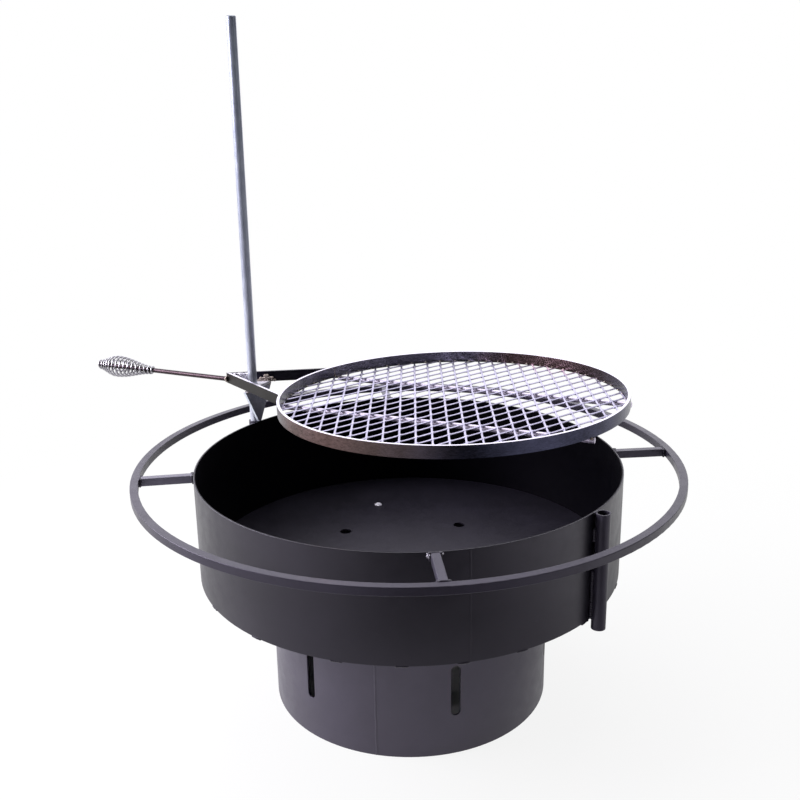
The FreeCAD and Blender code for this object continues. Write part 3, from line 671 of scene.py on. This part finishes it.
def grill_welds():
    verts, faces = [], []
    # arm to hoop, where an arm's middle line meets the hoop's outer face
    centre = APEX_BACK + HOOP_REACH
    run = centre * ARM_WAY.x - math.sqrt((centre * ARM_WAY.x) ** 2 - centre ** 2 + HOOP_R ** 2)
    low, high = -HOOP_HEIGHT + 0.0006, ARM_HEIGHT - ARM_BOTTOM - 0.0006
    # arm to plate: rough runs on the plate's top along the arm's inner foot
    runs = ((0.024, 0.044), (0.050, 0.082))
    beside = ARM_HALF + 0.0016
    top = PLATE_THICKNESS - PLATE_BOTTOM + 0.0010
    for side in (-1, 1):
        hit = by_arm(side, run, 0)
        normal = (hit - Vector((HOOP_REACH, 0))).normalized()
        tangent = Vector((-normal.y, normal.x))
        for shift in (-1, 1):
            spot = hit + tangent * shift * 0.0046 + normal * 0.0012
            weld_bead(verts, faces, [on_grill(spot.x, spot.y, low), on_grill(spot.x, spot.y, high)],
                      0.0026, 0.0030, side + shift)
        for number, ends in enumerate(runs):
            ends = [by_arm(side, along, beside) for along in ends]
            weld_bead(verts, faces, [on_grill(end.x, end.y, top) for end in ends],
                      0.0034, 0.0032, number + side * 4)
    # apex, with the handle rod
    apex = -APEX_BACK - ARM_HALF / math.sin(ARM_ANGLE) + 0.0004
    ring, lump = 0.0042, 0.0027
    for number, turn in enumerate(range(0, 360, 45)):
        angle = math.radians(turn)
        spot = on_grill(apex, ring * math.cos(angle), -HANDLE_DROP + ring * math.sin(angle))
        blob(verts, faces, spot, lump, number * 1.3)
    # rods to the hoop's lower edge
    level, flank_out = -HOOP_HEIGHT - 0.0008, 0.0040
    for side, across in enumerate(RODS_ACROSS):
        reach = math.sqrt((HOOP_R - HOOP_THICKNESS / 2) ** 2 - across ** 2)
        for end in (-1, 1):
            for flank in (-1, 1):
                x = HOOP_REACH + end * reach
                y = across + flank * flank_out
                weld_bead(verts, faces, [on_grill(x - 0.0015, y, level), on_grill(x + 0.0040, y, level)],
                          0.0022, 0.0026, side * 3 + end + flank * 0.3)
    # brace to plate and arms: three stitches on its back face, two on its front
    outer = ((-0.042, -0.026), (0.026, 0.042))
    for face, x, runs in ((0, 0.0088, (outer[0], None, outer[1])),
                          (1, 0.0148, (outer[0], (-0.009, 0.009), outer[1]))):
        z = x * math.tan(GRILL_RISE) - PLATE_BOTTOM - 0.0012
        for number, ends in enumerate(runs):
            if ends is not None:
                weld_bead(verts, faces, [BRACE @ Vector((x, y, z)) for y in ends],
                          0.0021, 0.0028, number + face * 5)
    new_piece("weld_grill", verts, faces, WELD_RAW, "grill")


grill_welds()


def arm_spatter(name, finish, first, last, crown, fall, size):
    """Lumpy weld built up on the far arm's inner face; its crown falls towards both ends."""
    foot_z = -0.0240
    proud = ARM_HALF + 0.0012
    shake_by = 0.0010
    step = size * 1.05
    columns = int((last - first) / step) + 1
    verts, faces = [], []
    for column in range(columns):
        share = column / (columns - 1)
        height = crown - fall * (2 * share - 1) ** 2 - foot_z + 0.0010
        for row in range(int(height / step) + 1):
            shake = noise.noise_vector(Vector((column * 1.7, row * 2.3, size * 900)))
            foot = by_arm(1, first + column * step, proud + shake_by * shake.x)
            z = foot_z + row * step + 0.0008 * shake.y
            blob(verts, faces, on_grill(foot.x, foot.y, z), size * (0.80 + 0.35 * shake.z),
                 column * 1.9 + row * 0.7, 0.9)
    new_piece(name, verts, faces, finish, "grill")


# Bright by the apex, and tan past the post.
arm_spatter("weld_fill", WELD_BRIGHT, 0.013, 0.052, -0.0085, 0.0, 0.0036)
arm_spatter("weld_heap", WELD_RAW, 0.060, 0.094, -0.0150, 0.006, 0.0044)

# Bright beads of spatter at the bowl end of the front arm: reach past the bowl, aside, and drop.
BEADS = ((0.0024, -0.0092, 0.0010), (0.0030, -0.0108, 0.0034), (0.0022, -0.0120, 0.0012),
         (0.0028, -0.0100, 0.0066), (0.0024, -0.0122, 0.0052), (0.0058, -0.0086, 0.0020),
         (0.0026, 0.0096, 0.0014), (0.0022, 0.0116, 0.0022))
verts, faces = [], []
out, across = ways(math.radians(dict(RING_ARMS)["front"]))
for number, (reach, aside, drop) in enumerate(BEADS):
    centre = out * (BOWL_R + reach) + across * aside + Vector((0, 0, RIM - drop))
    blob(verts, faces, centre, 0.0014 + 0.0004 * math.sin(number * 2.3), number * 1.1)
new_piece("weld_front_beads", verts, faces, WELD_BRIGHT, "pit")


def grate_tacks():
    """Small tacks where strand ends meet the inside of the hoop."""
    count = 64
    reach = HOOP_R - HOOP_THICKNESS - 0.0008
    z = -HOOP_HEIGHT + 0.0026
    verts, faces = [], []
    for number in range(count):
        turn = 2 * math.pi * (number + 0.35 * noise.noise(Vector((number * 1.7, 0, 0)))) / count
        spot = on_grill(HOOP_REACH + reach * math.cos(turn), reach * math.sin(turn), z)
        size = 0.0019 + 0.0008 * noise.noise(Vector((number * 3.3, 1, 0)))
        blob(verts, faces, spot, size, number, 0.7)
    new_piece("weld_grate_tacks", verts, faces, WELD_RAW, "grill")


grate_tacks()

# The hoop's butt joint: a narrow ridge across the band.
verts, faces = [], []
joint = math.radians(163)
for radius in (HOOP_R + 0.0001, HOOP_R - HOOP_THICKNESS - 0.0001):
    x = HOOP_REACH + radius * math.cos(joint)
    y = radius * math.sin(joint)
    weld_bead(verts, faces, [on_grill(x, y, -HOOP_HEIGHT + 0.0008), on_grill(x, y, -0.0008)],
              0.0011, 0.0024, radius * 50)
new_piece("weld_hoop_joint", verts, faces, WELD_RAW, "grill")


# ---------------------------------------------------------------- floor, light and camera

# Under every piece lies a plain pale floor. The camera sees it near white, with the object's shadow.
floor_material = bpy.data.materials.new("pale_floor")
floor_material.use_nodes = True
graph = Graph(floor_material.node_tree)
surface = graph.nodes["Principled BSDF"]
surface.inputs["Base Color"].default_value = (0.80, 0.80, 0.80, 1)
surface.inputs["Roughness"].default_value = 0.9
surface.inputs["Specular IOR Level"].default_value = 0.1
glow = graph.nodes.new("ShaderNodeEmission")
glow.inputs["Strength"].default_value = 1.0
path = graph.nodes.new("ShaderNodeLightPath").outputs
spot = graph.nodes.new("ShaderNodeTexCoord").outputs["Object"]
reach = graph.from_axis(spot)
sideways = graph.along(spot, (1, 0, 0))
# in reflections it is bright near the base, at the back and at both sides, and dim in front
near_base = graph.math("MULTIPLY", graph.spread(reach, 0.60, 1.05, 1.0, 0.02),
                       graph.spread(sideways, -0.20, 0.50, 1.0, 0.55))
behind = graph.spread(graph.along(spot, (-0.2, 1.0, 0)), 0.2, 0.7)
left = graph.spread(sideways, -1.00, -0.30, 1.0, 0.0)
right = graph.spread(sideways, 0.40, 1.00)
bright = near_base
for part in (behind, left, right):
    bright = graph.math("MAXIMUM", bright, part)
graph.links.new(graph.math("MAXIMUM", path["Is Camera Ray"], bright), glow.inputs["Color"])
seen = graph.math("MAXIMUM", path["Is Camera Ray"], path["Is Glossy Ray"])
# the ground inside the base is shut in and stays dark; far away the floor is plain white
shut_in = graph.spread(reach, BASE_R - WALL, BASE_R - 0.001)
fade = graph.spread(reach, 0.5, 1.6, 0.88, 1.0)
blend = graph.nodes.new("ShaderNodeMixShader")
graph.links.new(graph.math("MULTIPLY", graph.math("MULTIPLY", seen, shut_in), fade), blend.inputs["Fac"])
graph.links.new(surface.outputs[0], blend.inputs[1])
graph.links.new(glow.outputs[0], blend.inputs[2])
graph.links.new(blend.outputs[0], graph.nodes["Material Output"].inputs["Surface"])
FLOOR_HALF = 9
data = bpy.data.meshes.new("floor")
corners = [(x * FLOOR_HALF, y * FLOOR_HALF, 0) for x, y in ((-1, -1), (1, -1), (1, 1), (-1, 1))]
data.from_pydata(corners, [], [(0, 1, 2, 3)])
data.materials.append(floor_material)
floor = bpy.data.objects.new("floor", data)
bpy.context.scene.collection.objects.link(floor)

# The camera sees a white backdrop; the object is lit by one that is brighter towards the back
# and a little towards the left, and dim in front.
world = bpy.data.worlds.new("studio")
bpy.context.scene.world = world
world.use_nodes = True
graph = Graph(world.node_tree)
graph.nodes.clear()
white = graph.nodes.new("ShaderNodeBackground")
white.inputs["Strength"].default_value = 1.0
white.inputs["Color"].default_value = (1, 1, 1, 1)
soft = graph.nodes.new("ShaderNodeBackground")
soft.inputs["Color"].default_value = (0.95, 0.94, 1.0, 1)
where = graph.nodes.new("ShaderNodeTexCoord").outputs["Generated"]
level = graph.spread(graph.along(where, (-0.30, 0.95, 0)), -0.30, 1.0, 0.06, 2.0, smooth=True)
graph.links.new(level, soft.inputs["Strength"])
blend = graph.nodes.new("ShaderNodeMixShader")
graph.links.new(graph.nodes.new("ShaderNodeLightPath").outputs["Is Camera Ray"], blend.inputs["Fac"])
graph.links.new(soft.outputs[0], blend.inputs[1])
graph.links.new(white.outputs[0], blend.inputs[2])
graph.links.new(blend.outputs[0], graph.nodes.new("ShaderNodeOutputWorld").inputs["Surface"])


def soft_box(name, place, aim, size, power, colour=(1, 1, 1)):
    light = bpy.data.lights.new(name, "AREA")
    light.shape = "RECTANGLE"
    light.size, light.size_y = size
    light.energy = power
    light.color = colour
    lamp = bpy.data.objects.new(name, light)
    lamp.visible_camera = False
    lamp.location = place
    lamp.rotation_euler = (Vector(aim) - Vector(place)).to_track_quat("-Z", "Y").to_euler()
    bpy.context.scene.collection.objects.link(lamp)


soft_box("key", (-2.4, 0.2, 1.5), (-0.6, 0, 0.1), (1.8, 1.2), 110, (0.95, 0.91, 1.0))
soft_box("fill", (2.6, -1.0, 1.6), (0, 0, 0.35), (1.2, 1.6), 5)
soft_box("top", (0.2, 0.8, 3.2), (0, 0, 0.3), (2.2, 1.6), 30)

# The camera was fitted to the outlines of rims, ring, base and hoop.
FOCAL = 1027.767
IMAGE = 800
SENSOR = 36.0
PITCH = math.radians(17.30972)
ROLL = 0.01536
YAW = math.radians(-5.73931)
EYE = Vector((-0.18647, -1.72733, 1.09686))
turned = Matrix.Rotation(YAW, 3, "Z")
ahead = Vector((0, math.cos(PITCH), -math.sin(PITCH)))
right = Vector((1, 0, 0))
down = Vector((0, -math.sin(PITCH), -math.cos(PITCH)))
image_right = right * math.cos(ROLL) + down * math.sin(ROLL)
image_down = down * math.cos(ROLL) - right * math.sin(ROLL)
columns = [turned @ image_right, turned @ -image_down, turned @ -ahead]
lens = bpy.data.cameras.new("camera")
lens.sensor_fit = "HORIZONTAL"
lens.sensor_width = SENSOR
lens.lens = SENSOR * FOCAL / IMAGE
lens.clip_end = 100
camera = bpy.data.objects.new("camera", lens)
turning = Matrix(columns).transposed().to_4x4()
camera.matrix_world = Matrix.Translation(EYE) @ turning
bpy.context.scene.collection.objects.link(camera)
bpy.context.scene.camera = camera
bpy.context.scene.view_settings.view_transform = "Standard"
